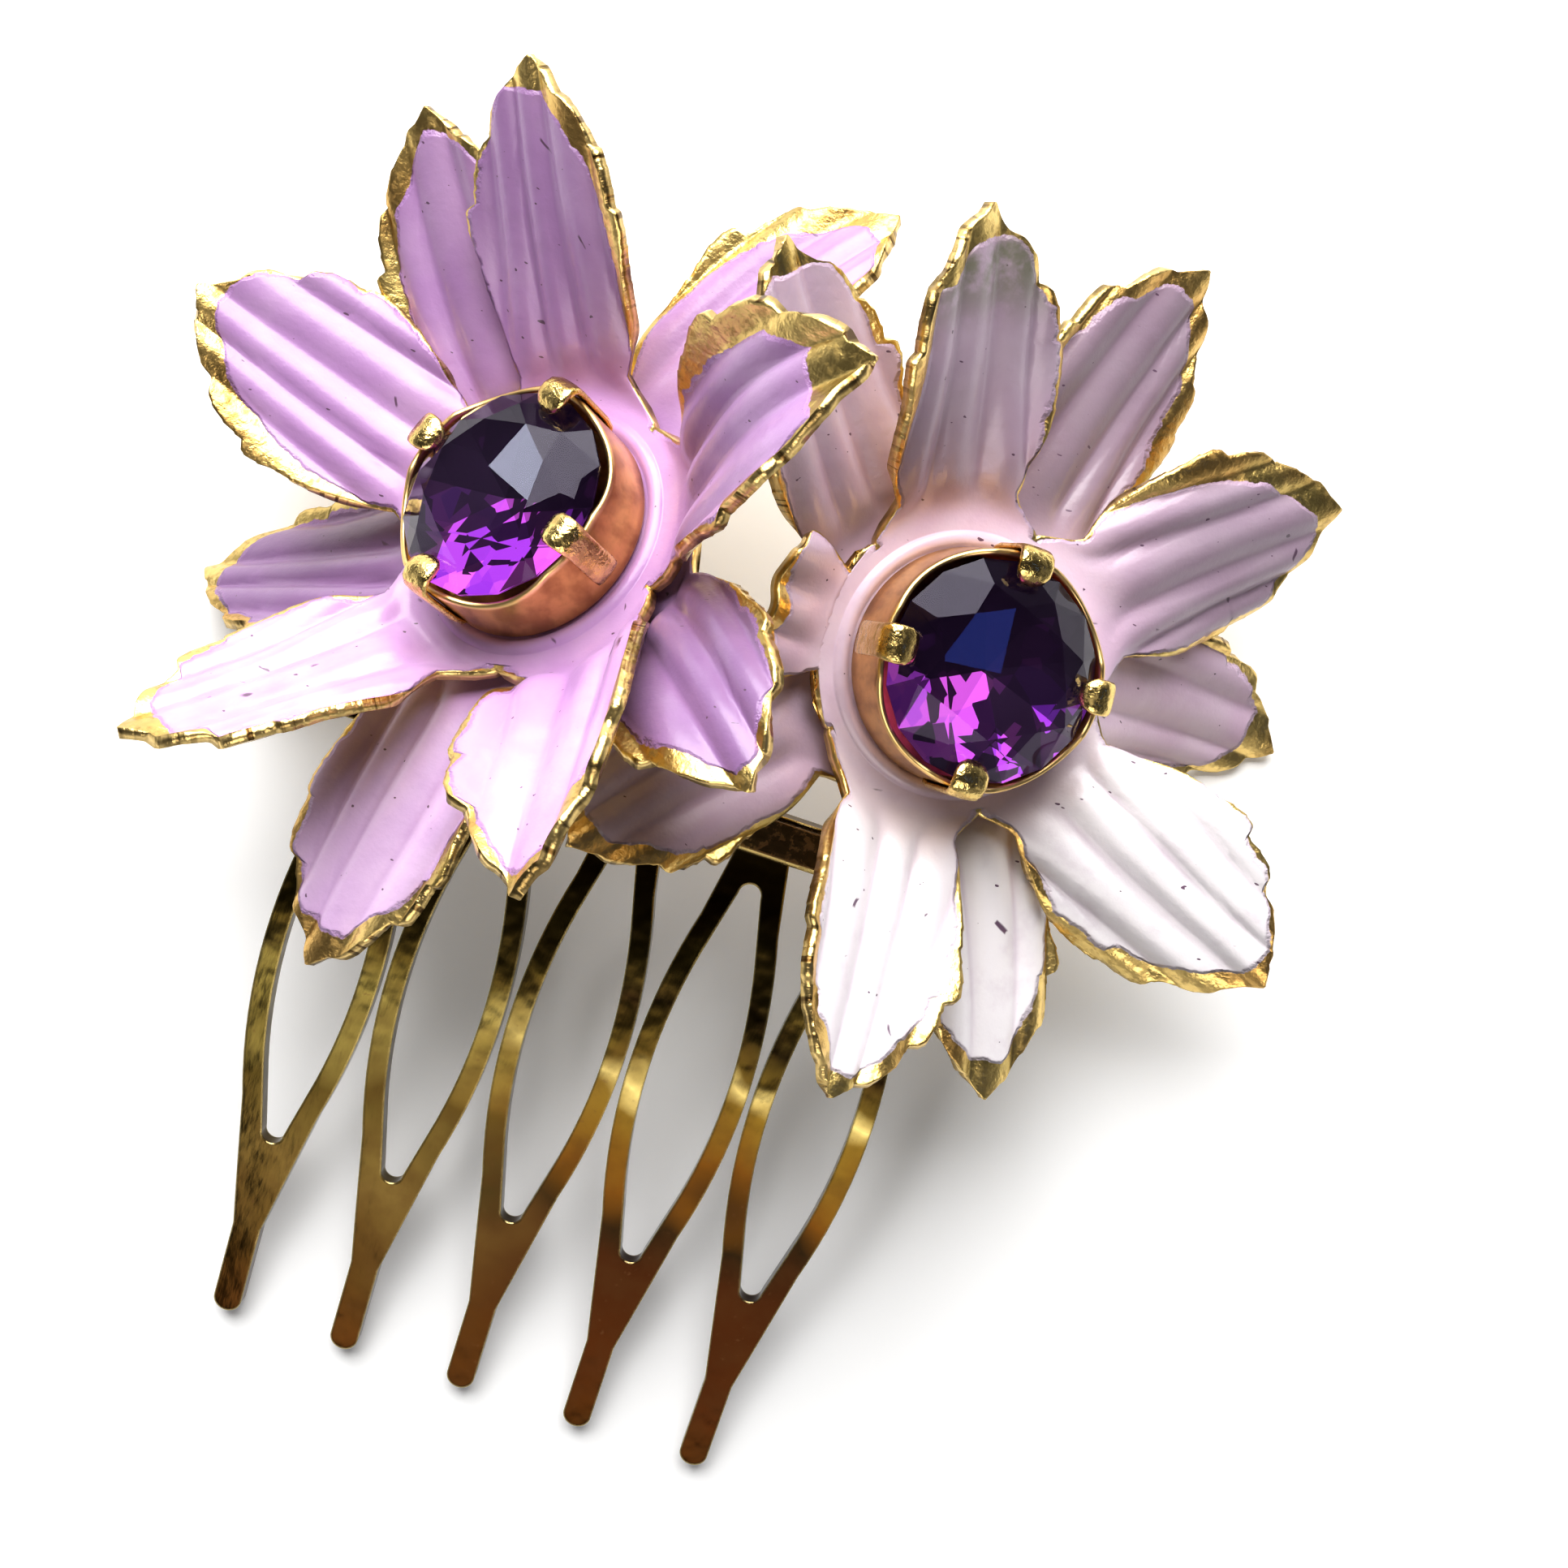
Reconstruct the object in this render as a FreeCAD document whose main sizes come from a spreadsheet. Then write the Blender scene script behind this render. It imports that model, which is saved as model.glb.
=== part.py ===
import FreeCAD, Part
import math
import os
import Sketcher
from FreeCAD import Placement, Rotation, Vector

# Hair comb with two layered metal flowers, millimetres.
# The comb lies on its back: teeth towards -Y, spine along X, flowers up.

doc = FreeCAD.newDocument("hair_comb")

# ---------------------------------------------------------------- dimensions
DIMS = [
    ("comb_length", 40.5), ("tooth_pitch", 7.5), ("tooth_count", 5), ("comb_thickness", 1.0),
    ("comb_bow", 0.8), ("comb_slope", 13), ("spine_width", 2.5), ("spine_length", 37.4),
    ("stem_half", 0.85), ("stem_length", 6), ("loop_half", 3.6), ("slot_end_radius", 0.65),
    ("slot_bottom", 11.8), ("slot_length", 24.4), ("slot_half", 2.4),
    ("sheet_thickness", 0.65), ("hub_thickness", 0.9), ("hub_radius", 8.3), ("hinge_radius", 7.2),
    ("petal_reach", 25.5), ("petal_width", 10), ("layer_gap", 0.7), ("shank_radius", 1.0),
    ("bore_radius", 1.05), ("washer_radius", 4), ("pad_radius", 5), ("pad_thickness", 1.0),
    ("cup_radius", 6.5), ("cup_wall", 0.35), ("cup_floor", 0.4), ("cup_height", 4.5),
    ("prong_width", 1.8), ("prong_thickness", 0.4), ("stone_radius", 6), ("stone_table", 3.6),
    ("girdle_height", 4.2), ("crown_height", 1.7), ("pavilion_depth", 2.7), ("head_radius", 2),
    ("head_height", 0.7),
]
sheet = doc.addObject("Spreadsheet::Sheet", "Dims")
for row, (alias, value) in enumerate(DIMS, 1):
    sheet.set("A%d" % row, alias)
    sheet.set("B%d" % row, str(value))
    sheet.setAlias("B%d" % row, alias)
doc.recompute()


def dim(alias):
    return float(getattr(sheet, alias))


def plane(body, role):
    return next(f for f in body.Origin.OriginFeatures if f.Role == role)


def new_body(label):
    body = doc.addObject("PartDesign::Body", label)
    body.Label = label
    return body


def new_sketch(body, name, role, edges, lift=0.0, turn=0.0):
    """Closed profile made of Part edges on one of the body's origin planes."""
    sketch = body.newObject("Sketcher::SketchObject", name)
    sketch.AttachmentSupport = [(plane(body, role), "")]
    sketch.MapMode = "FlatFace"
    sketch.AttachmentOffset = Placement(Vector(0, 0, lift), Rotation(Vector(0, 1, 0), turn))
    first = len(sketch.Geometry)
    sketch.addGeometry(edges, False)
    count = len(edges)
    for i in range(count):
        a, b = first + i, first + (i + 1) % count
        for m, n in ((2, 1), (2, 2), (1, 1), (1, 2)):
            if (sketch.getPoint(a, m) - sketch.getPoint(b, n)).Length < 1e-6:
                sketch.addConstraint(Sketcher.Constraint("Coincident", a, m, b, n))
                break
    return sketch


def outline(points):
    """Line segments through the points, closed."""
    vectors = [Vector(x, y, 0) for x, y in points]
    return [Part.LineSegment(a, b) for a, b in zip(vectors, vectors[1:] + vectors[:1])]


def arc(a, b, c):
    return Part.Arc(Vector(*a, 0), Vector(*b, 0), Vector(*c, 0))


def line(a, b):
    return Part.LineSegment(Vector(*a, 0), Vector(*b, 0))


# ---------------------------------------------------------------- comb blank
comb = new_body("comb")
LEN = dim("comb_length")
THICK = dim("comb_thickness")
HIGH = 12.0
spine_y = LEN - dim("spine_width")

half_spine = dim("spine_length") / 2
spine_sketch = new_sketch(comb, "SpineSketch", "XY_Plane", outline(
    [(-half_spine, spine_y), (half_spine, spine_y), (half_spine, LEN), (-half_spine, LEN)]), -HIGH / 2)
spine_pad = comb.newObject("PartDesign::Pad", "SpinePad")
spine_pad.Profile = spine_sketch
spine_pad.Length = HIGH

first_x = -dim("tooth_pitch") * (dim("tooth_count") - 1) / 2
stem, loop = dim("stem_half"), dim("loop_half")
neck_y, mid_y = dim("stem_length"), dim("slot_bottom") + dim("slot_length") / 2
top_y = spine_y + 0.5


def tooth_edges(cx):
    """Outer edge of one tooth: round tip, straight stem, looped body, short neck at the spine."""
    def at(x, y):
        return (cx + x, y)
    right = [line(at(stem, stem), at(stem, neck_y)),
             line(at(stem, neck_y), at(2.35, 14.3)),
             arc(at(2.35, 14.3), at(loop, mid_y), at(2.35, 33.6)),
             line(at(2.35, 33.6), at(1.5, top_y))]
    left = [line(at(-1.5, top_y), at(-2.35, 33.6)),
            arc(at(-2.35, 33.6), at(-loop, mid_y), at(-2.35, 14.3)),
            line(at(-2.35, 14.3), at(-stem, neck_y)),
            line(at(-stem, neck_y), at(-stem, stem))]
    return right + [line(at(1.5, top_y), at(-1.5, top_y))] + left + [
        arc(at(-stem, stem), at(0, 0), at(stem, stem))]


def slot_edges(cx):
    """Almond opening inside one tooth."""
    r = dim("slot_end_radius")
    low = dim("slot_bottom") + r
    high = dim("slot_bottom") + dim("slot_length") - r
    wide = dim("slot_half")
    return [line((cx + r, low), (cx + 1.35, low + 3.0)),
            arc((cx + 1.35, low + 3.0), (cx + wide, mid_y), (cx + 1.35, high - 3.0)),
            line((cx + 1.35, high - 3.0), (cx + r, high)),
            arc((cx + r, high), (cx, high + r), (cx - r, high)),
            line((cx - r, high), (cx - 1.35, high - 3.0)),
            arc((cx - 1.35, high - 3.0), (cx - wide, mid_y), (cx - 1.35, low + 3.0)),
            line((cx - 1.35, low + 3.0), (cx - r, low)),
            arc((cx - r, low), (cx, low - r), (cx + r, low))]


tooth_sketch = new_sketch(comb, "ToothSketch", "XY_Plane", tooth_edges(first_x), -HIGH / 2)
tooth_pad = comb.newObject("PartDesign::Pad", "ToothPad")
tooth_pad.Profile = tooth_sketch
tooth_pad.Length = HIGH
doc.recompute()
slot_sketch = new_sketch(comb, "SlotSketch", "XY_Plane", slot_edges(first_x), HIGH / 2)
slot_cut = comb.newObject("PartDesign::Pocket", "SlotCut")
slot_cut.Profile = slot_sketch
slot_cut.Length = HIGH
doc.recompute()
teeth = comb.newObject("PartDesign::LinearPattern", "Teeth")
teeth.Originals = [tooth_pad, slot_cut]
teeth.Direction = (plane(comb, "X_Axis"), [""])
teeth.Length = dim("tooth_pitch") * (dim("tooth_count") - 1)
teeth.setExpression("Length", "Dims.tooth_pitch * (Dims.tooth_count - 1) * 1 mm")
teeth.Occurrences = int(dim("tooth_count"))
comb.Tip = teeth
doc.recompute()

# the sheet is bowed along the teeth and straight under the spine
BEND_Y = 36.5
BOW = dim("comb_bow")
end_slope = -4 * BOW / BEND_Y


def strip_z(y, offset):
    if y <= BEND_Y:
        return 4 * BOW * y * (BEND_Y - y) / BEND_Y ** 2 + offset
    return end_slope * (y - BEND_Y) + offset


def trim_edges(offset, far):
    tail = LEN + 1.0
    return [line((-1.0, far), (-1.0, strip_z(-1.0, offset))),
            arc((-1.0, strip_z(-1.0, offset)), (17.5, strip_z(17.5, offset)), (BEND_Y, offset)),
            line((BEND_Y, offset), (tail, strip_z(tail, offset))),
            line((tail, strip_z(tail, offset)), (tail, far)),
            line((tail, far), (-1.0, far))]


for name, offset, far in (("TrimAbove", THICK, HIGH), ("TrimBelow", 0.0, -HIGH)):
    trim_sketch = new_sketch(comb, name + "Sketch", "YZ_Plane", trim_edges(offset, far), 25)
    trim = comb.newObject("PartDesign::Pocket", name)
    trim.Profile = trim_sketch
    trim.Length = 50
    doc.recompute()
comb_turn = Rotation(Vector(1, 0, 0), dim("comb_slope"))
comb.Placement = Placement(Vector(0, 0, 0), comb_turn)

# ---------------------------------------------------------------- flowers
# hub centre, direction the flower leans to, lean, turn of the cup's prongs
FLOWERS = {
    "left": (Vector(-9.4, 50.0, 14.7), 158, 32, 70),
    "right": (Vector(14.4, 50.3, 14.1), -3, 19, 3),
}
# one row per petal: direction, lift, curl, end curl, sideways sweep, twist (degrees), cupping,
# length and width against the common blank
PETALS = {
    "left_front": [(164, 30, 7, 7, -2, 1, 0, 1.02, 1.12), (100, 46, 0, -7, -5, -9, 0.05, 1.06, 1.02),
                   (18, 50, -2, -54, 4, 9, 0.3, 1.12, 1.02), (236, 32, -3, 11, 0, 17, 0.1, 1.02, 1.02),
                   (316, 43, -28, -13, -37, 10, 0.35, 1.08, 1.04)],
    "left_back": [(129, 35, 0, -1, -22, -4, 0.1, 1.08, 1), (69, 7, -14, -10, -20, -3, 0.15, 1.04, 1),
                  (196, -3, -2, -4, -8, 20, 0, 1.04, 1), (257, -1, -10, 0, 0, -5, 0.05, 1.08, 1.02),
                  (337, 50, -54, -9, -19, -5, 0.05, 1, 0.96)],
    "right_front": [(113, 31, -18, -7, -4, 22, 0.15, 0.98, 1.02), (42, 0, 0, 0, -6, 20, -0.15, 0.98, 1.08),
                    (330, 22, -3, -1, 6, 28, -0.15, 0.98, 1.14), (265, 33, -10, -9, -1, -14, 0.2, 1, 1.02),
                    (180, 24, 0, 0, 0, 0, 0, 1, 1)],
    "right_back": [(78, 0, -1, 1, -10, 14, 0, 1.08, 0.98), (10, -28, 11, 22, -14, 22, -0.05, 0.98, 0.92),
                   (299, 9, -2, -5, -17, -13, 0, 0.96, 0.9), (216, 11, 0, 0, 14, 1, 0, 0.94, 0.98),
                   (142, 25, -10, -10, -15, 17, 0.05, 1.02, 0.94)],
}
SHORT_PETAL = ("right_front", 4)

HINGE = dim("hinge_radius")
REACH = dim("petal_reach") - HINGE
SHEET = dim("sheet_thickness")
STEPS = 48
SPAN = 1.14


def smooth(x):
    x = min(max(x, 0.0), 1.0)
    return x * x * (3 - 2 * x)


def half_width(s, wide=1.0):
    """Petal's half width along its length, widest a little before the middle."""
    half = dim("petal_width") / 2 * (1 + (wide - 1) * smooth(s / 0.45))
    if s < 0.47:
        return half * (0.5 + 0.5 * math.sin(math.pi / 2 * s / 0.47))
    return half * math.cos(math.pi / 2 * min((s - 0.47) / 0.53, 1.0) ** 1.25)


def midline(lift, curl, end_curl, sweep, twist, stretch):
    """Points and frames along a petal's centre line, the petal lying along +X."""
    frames = []
    point, last = Vector(HINGE, 0, 0), None
    for i in range(STEPS + 1):
        s = i / STEPS
        up = math.radians(lift * smooth(s / 0.12) + curl * s + end_curl * s ** 3)
        side = math.radians(sweep * s)
        ahead = Vector(math.cos(up) * math.cos(side), math.cos(up) * math.sin(side), math.sin(up))
        if last is not None:
            point = point + (ahead + last) * (REACH * stretch / STEPS / 2)
        last = ahead
        across = Vector(-math.sin(side), math.cos(side), 0)
        normal = ahead.cross(across)
        turn = math.radians(twist * smooth(s / 0.6))
        frames.append((point, across * math.cos(turn) + normal * math.sin(turn),
                       normal * math.cos(turn) - across * math.sin(turn)))
    return frames


def petal_point(frames, s, v, cup, offset):
    """Point of the petal's sheet at s along it and v across it, in units of the full half width."""
    k = min(int(s * STEPS), STEPS - 1)
    f = s * STEPS - k
    point, across, normal = (a * (1 - f) + b * f for a, b in zip(frames[k], frames[k + 1]))
    y = v * SPAN * dim("petal_width") / 2
    edge = max(half_width(s), 0.5)
    ridge = 0.28 * math.sin(2 * math.pi * y / 2.6 + 0.6) * smooth((s - 0.04) / 0.3) * (1 - 0.5 * s)
    bowl = cup * min(y * y / edge, 2.5 * edge) * smooth(s / 0.3)
    return point + across * y + normal * (ridge + bowl + offset)


def stations(short, wide):
    """(s, half width) along a petal: plain root, three forward-pointing steps a side, blunt tip."""
    if short:
        return [(0.0, half_width(0)), (0.08, half_width(0.08)), (0.16, half_width(0.15)),
                (0.22, 2.6), (0.26, 1.2)]
    rows = [(s, half_width(s, wide)) for s in (0.0, 0.05, 0.1, 0.16, 0.23, 0.3, 0.37)]
    for k in range(3):
        low = 0.43 + 0.165 * k
        rows.append((low, half_width(low, wide) - 0.05))
        rows.append((low + 0.085, half_width(low + 0.085, wide) + 0.22))
        rows.append((low + 0.135, half_width(low + 0.135, wide) + 0.38 - 0.04 * k))
    rows.append((0.93, half_width(0.93, wide)))
    rows.append((0.985, 0.3))
    return rows


def petal_solid(row, short):
    """One bent petal, lofted through cross-sections of the ridged sheet."""
    azimuth, lift, curl, end_curl, sweep, twist, cup, stretch, wide = row
    frames = midline(lift, curl, end_curl, sweep, twist, stretch)
    full = SPAN * dim("petal_width") / 2
    sections = []
    for s, half in stations(short, wide):
        rims = []
        for offset in (SHEET / 2, -SHEET / 2):
            points = [petal_point(frames, s, half / full * (i / 6 - 1), cup, offset) for i in range(13)]
            rims.append(points if offset > 0 else points[::-1])
        edges = []
        for points, after in zip(rims, rims[::-1]):
            curve = Part.BSplineCurve()
            curve.interpolate(points)
            edges += [curve.toShape(), Part.makeLine(points[-1], after[0])]
        sections.append(Part.Wire(edges))
    solid = Part.makeLoft(sections, True, True)
    solid.rotate(Vector(0, 0, 0), Vector(0, 0, 1), azimuth)
    return solid


def turned(profile):
    """Solid of revolution about Z from (radius, height) corners."""
    wire = Part.makePolygon([Vector(r, 0, z) for r, z in profile + profile[:1]])
    return Part.Face(wire).revolve(Vector(0, 0, 0), Vector(0, 0, 1), 360)



# levels along a flower's axis, measured from the middle of the front layer
HALF_HUB = dim("hub_thickness") / 2
BACK_LEVEL = -dim("hub_thickness") - dim("layer_gap")
PAD_TOP = BACK_LEVEL - HALF_HUB
PAD_LOW = PAD_TOP - dim("pad_thickness")
BORE, SHANK = dim("bore_radius"), dim("shank_radius")


def feature(label, shape, placement):
    item = doc.addObject("Part::Feature", label)
    item.Label = label
    item.Shape = shape
    item.Placement = placement
    return item


def layer_shape(rows, name):
    """Hub disc with its raised ring and five bent petals, one sheet."""
    rim = dim("hub_radius")
    hub = turned([(BORE, -HALF_HUB), (rim, -HALF_HUB), (rim, HALF_HUB), (7.25, HALF_HUB),
                  (7.05, HALF_HUB + 0.3), (6.8, HALF_HUB + 0.3), (6.6, HALF_HUB), (BORE, HALF_HUB)])
    return hub.fuse([petal_solid(row, (name, i) == SHORT_PETAL) for i, row in enumerate(rows)])


# ---------------------------------------------------------------- stone cups
def cup_body(label):
    """Turned cup with a scalloped rim and four prongs bent over the stone."""
    body = new_body(label)
    r, wall, high = dim("cup_radius"), dim("cup_wall"), dim("cup_height")
    floor = dim("cup_floor")
    profile = new_sketch(body, "WallSketch_" + label, "XZ_Plane", outline(
        [(BORE, 0), (r - 0.2, 0), (r, 0.3), (r, high), (r - wall, high), (r - wall, floor), (BORE, floor)]))
    wall_turn = body.newObject("PartDesign::Revolution", "Wall_" + label)
    wall_turn.Profile = profile
    wall_turn.ReferenceAxis = (profile, ["V_Axis"])
    wall_turn.Angle = 360
    doc.recompute()
    before = body.Shape.Volume
    dip = new_sketch(body, "DipSketch_" + label, "XZ_Plane", [
        arc((-3.2, high + 0.1), (0, high - 0.6), (3.2, high + 0.1)), line((3.2, high + 0.1), (3.2, high + 1)),
        line((3.2, high + 1), (-3.2, high + 1)), line((-3.2, high + 1), (-3.2, high + 0.1))], 0, 45)
    dip_cut = body.newObject("PartDesign::Pocket", "DipCut_" + label)
    dip_cut.Profile = dip
    dip_cut.SideType = "Symmetric"
    dip_cut.Length = 20
    doc.recompute()
    dips = body.newObject("PartDesign::PolarPattern", "Dips_" + label)
    dips.Originals = [dip_cut]
    dips.Axis = (plane(body, "Z_Axis"), [""])
    dips.Angle = 90
    dips.Occurrences = 2
    body.Tip = dips
    doc.recompute()
    if not body.Shape.Volume < before - 0.1:
        raise RuntimeError("the rim's dips cut nothing")
    t = dim("prong_thickness")
    prong = new_sketch(body, "ProngSketch_" + label, "XZ_Plane", outline(
        [(r - 0.05, 1.0), (r + t, 1.3), (r + t, high + 0.35), (r + 0.1, high + 1.0), (5.25, high + 1.35),
         (4.95, high + 0.95), (5.1, high + 0.65), (6.1, high + 0.3), (r - 0.2, high - 0.3)]))
    prong_pad = body.newObject("PartDesign::Pad", "Prong_" + label)
    prong_pad.Profile = prong
    prong_pad.SideType = "Symmetric"
    prong_pad.Length = dim("prong_width")
    prong_pad.setExpression("Length", "Dims.prong_width * 1 mm")
    doc.recompute()
    prongs = body.newObject("PartDesign::PolarPattern", "Prongs_" + label)
    prongs.Originals = [prong_pad]
    prongs.Axis = (plane(body, "Z_Axis"), [""])
    prongs.Angle = 360
    prongs.Occurrences = 4
    body.Tip = prongs
    doc.recompute()
    return body


def polar(radius, degrees, z):
    a = math.radians(degrees)
    return Vector(radius * math.cos(a), radius * math.sin(a), z)


def stone_shape():
    """Round faceted stone: eight-sided table, kite facets, low girdle, pointed back."""
    radius, table = dim("stone_radius"), dim("stone_table")
    low = dim("girdle_height")
    high = low + 0.15
    rise = dim("crown_height") / (radius - table)
    fall = dim("pavilion_depth") / radius
    c8 = math.cos(math.radians(22.5))
    culet = Vector(0, 0, low - dim("pavilion_depth"))
    faces = []

    def facet(*corners):
        faces.append(Part.Face(Part.makePolygon(list(corners) + [corners[0]])))

    facet(*[polar(table, 45 * k, high + dim("crown_height")) for k in range(8)])
    for k in range(8):
        a, mid, b = 45 * k, 45 * k + 22.5, 45 * k + 45
        star_r, back_r = 4.7, 3.0
        star = polar(star_r, mid, high + rise * (radius - star_r * c8))
        star_last = polar(star_r, mid - 45, star.z)
        back = polar(back_r, mid, low - fall * (radius - back_r * c8))
        back_last = polar(back_r, mid - 45, back.z)
        top_a, top_b = polar(table, a, high + dim("crown_height")), polar(table, b, high + dim("crown_height"))
        facet(top_a, star, top_b)
        facet(top_a, star_last, polar(radius, a, high), star)
        facet(culet, back_last, polar(radius, a, low), back)
        for edge in (a, b):
            facet(star, polar(radius, edge, high), polar(radius, mid, high))
            facet(back, polar(radius, edge, low), polar(radius, mid, low))
            facet(polar(radius, edge, low), polar(radius, mid, low), polar(radius, mid, high),
                  polar(radius, edge, high))
    shell = Part.makeShell(faces)
    shell.sewShape()
    solid = Part.makeSolid(shell)
    if solid.Volume < 0:
        solid.reverse()
    return solid


def rivet_shape():
    head, high = dim("head_radius"), dim("head_height")
    top = HALF_HUB + dim("cup_floor")
    return turned([(0, PAD_LOW - high), (0.7 * head, PAD_LOW - 0.8 * high), (head, PAD_LOW - 0.3 * high),
                   (head, PAD_LOW), (SHANK, PAD_LOW), (SHANK, top), (0.9 * head, top),
                   (0.8 * head, top + 0.35), (0, top + 0.5)])


nodes = [comb]
pads, rings, rivets = [], [], []
for side, (centre, direction, lean, prong_turn) in FLOWERS.items():
    d = math.radians(direction)
    place = Placement(centre, Rotation(Vector(-math.sin(d), math.cos(d), 0), lean))
    spin = Placement(Vector(0, 0, HALF_HUB), Rotation(Vector(0, 0, 1), prong_turn))
    back_place = place.multiply(Placement(Vector(0, 0, BACK_LEVEL), Rotation()))
    nodes.append(feature(side + "_front_petals", layer_shape(PETALS[side + "_front"], side + "_front"), place))
    nodes.append(feature(side + "_back_petals", layer_shape(PETALS[side + "_back"], side + "_back"), back_place))
    ring = turned([(BORE, PAD_TOP + dim("hub_thickness")), (dim("washer_radius"), PAD_TOP + dim("hub_thickness")),
                   (dim("washer_radius"), -HALF_HUB), (BORE, -HALF_HUB)])
    ring.Placement = place
    rings.append(ring)
    cup = cup_body(side + "_stone_cup")
    cup.Placement = place.multiply(spin)
    nodes.append(cup)
    nodes.append(feature(side + "_stone", stone_shape(), place.multiply(spin)))
    rivet = rivet_shape()
    rivet.Placement = place
    rivets.append(rivet)
    pads.append(place)
nodes.append(feature("spacer_washers", Part.makeCompound(rings), Placement()))
nodes.append(feature("rivets", Part.makeCompound(rivets), Placement()))

# ---------------------------------------------------------------- strap that joins flowers and comb
comb_place = Placement(Vector(0, 0, 0), comb_turn)
BAR_Y, BAR_WIDE, BAR_THICK = 38.3, 2.0, 1.0
bar_base = Vector(-12, BAR_Y, strip_z(BAR_Y, THICK))
bar_turn = Rotation(Vector(1, 0, 0), math.degrees(math.atan(end_slope)))
bar = Part.makeBox(29, BAR_WIDE, BAR_THICK)
bar.Placement = comb_place.multiply(Placement(bar_base, bar_turn))


def bar_point(x, y, z):
    return comb_place.multiply(Placement(bar_base, bar_turn)).multVec(Vector(x + 12, y, z))


def section(centre, across, normal, half, thick):
    corners = [centre + across * u * half + normal * v * thick / 2
               for u, v in ((-1, -1), (1, -1), (1, 1), (-1, 1))]
    return Part.makePolygon(corners + corners[:1])


strap = bar
EAST, UP = Vector(1, 0, 0), Vector(0, 0, 1)
for place in pads:
    pad = turned([(BORE, PAD_LOW), (dim("pad_radius"), PAD_LOW), (dim("pad_radius"), PAD_TOP), (BORE, PAD_TOP)])
    pad.Placement = place
    middle = place.multVec(Vector(0, 0, (PAD_LOW + PAD_TOP) / 2 - 0.1))
    normal = place.Rotation.multVec(UP)
    across = (EAST - normal * normal.dot(EAST)).normalize()
    down = across.cross(normal) * -1
    if down.y > 0:
        down = down * -1
    foot_x = middle.x
    low = [bar_point(foot_x, 0.1, BAR_THICK / 2), bar_point(foot_x, BAR_WIDE, BAR_THICK / 2),
           bar_point(foot_x, BAR_WIDE + 3, BAR_THICK / 2 + 0.3)]
    flat = bar_point(0, 0, 1) - bar_point(0, 0, 0)
    high = middle + down * 4.2
    slope = (high - low[2]).normalize()
    lean_normal = EAST.cross(slope).normalize()
    arm = Part.makeLoft([
        section(low[0], EAST, flat, 2.2, 0.9), section(low[1], EAST, flat, 2.2, 0.9),
        section(low[2], EAST, (flat + lean_normal).normalize(), 2.2, 0.85),
        section(high, across, (normal + lean_normal).normalize(), 2.2, 0.8),
        section(middle + down * 2.2, across, normal, 2.2, 0.8)], True, True)
    strap = strap.fuse([arm, pad])
nodes.append(feature("mount_strap", strap, Placement()))

seam_leg = 0.42
seam_wire = Part.Wire([
    Part.makeLine(Vector(0, 0, 0), Vector(0, 0, seam_leg)),
    Part.Arc(Vector(0, 0, seam_leg), Vector(0, -0.16, 0.16), Vector(0, -seam_leg, 0)).toShape(),
    Part.makeLine(Vector(0, -seam_leg, 0), Vector(0, 0, 0))])
seam = Part.Face(seam_wire).extrude(Vector(29, 0, 0))
nodes.append(feature("solder_seam", seam, comb_place.multiply(Placement(bar_base, bar_turn))))
doc.recompute()

# ---------------------------------------------------------------- origin under the middle, checks, export
boxes = [node.Shape.optimalBoundingBox(False, False) for node in nodes]
shift = Vector(-(min(b.XMin for b in boxes) + max(b.XMax for b in boxes)) / 2,
               -(min(b.YMin for b in boxes) + max(b.YMax for b in boxes)) / 2,
               -min(b.ZMin for b in boxes))
for node in nodes:
    node.Placement = Placement(shift, Rotation()).multiply(node.Placement)
doc.recompute()
print("shift", shift)
for item in doc.Objects:
    if "Invalid" in item.State or "Error" in item.State:
        raise RuntimeError("failed: " + item.Label)
os.makedirs("parts", exist_ok=True)
for node, box in zip(nodes, boxes):
    shape = node.Shape
    pieces = 2 if node.Label in ("spacer_washers", "rivets") else 1
    if shape.isNull() or not shape.isValid() or len(shape.Solids) != pieces:
        raise RuntimeError("bad shape: " + node.Label + " %d" % len(shape.Solids))
    shape.exportStep("parts/" + node.Label + ".step")
    print("%-20s volume %8.1f  low %.2f" % (node.Label, shape.Volume, box.ZMin + shift.z))
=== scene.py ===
import math
import bmesh
import bpy
import numpy as np
from mathutils import Matrix, Vector


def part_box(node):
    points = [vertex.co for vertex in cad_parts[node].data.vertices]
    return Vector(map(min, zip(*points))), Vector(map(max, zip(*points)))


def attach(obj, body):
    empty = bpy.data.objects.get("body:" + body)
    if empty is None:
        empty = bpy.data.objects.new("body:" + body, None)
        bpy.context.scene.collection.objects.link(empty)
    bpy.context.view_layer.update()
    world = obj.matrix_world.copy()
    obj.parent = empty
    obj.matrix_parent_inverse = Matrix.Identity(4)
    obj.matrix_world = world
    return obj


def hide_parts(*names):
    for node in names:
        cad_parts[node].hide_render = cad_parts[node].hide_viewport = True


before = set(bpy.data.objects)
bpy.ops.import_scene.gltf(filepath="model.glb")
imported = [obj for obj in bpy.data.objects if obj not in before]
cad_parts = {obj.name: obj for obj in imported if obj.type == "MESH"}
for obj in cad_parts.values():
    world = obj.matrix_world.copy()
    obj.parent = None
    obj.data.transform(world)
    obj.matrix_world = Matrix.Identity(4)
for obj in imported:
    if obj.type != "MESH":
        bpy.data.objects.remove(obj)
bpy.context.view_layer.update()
MM = 0.001
COMB_LENGTH = 0.0405
rng = np.random.default_rng(7)

# part coordinates (millimetres, comb's middle tooth tip at the origin) to the row frame
comb_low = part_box("comb")[0]
SHIFT = np.array([comb_low.x / MM + 18.7, comb_low.y / MM + 0.2249, comb_low.z / MM - 0.0002])

# ------------------------------------------------------------------ node helpers


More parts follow.
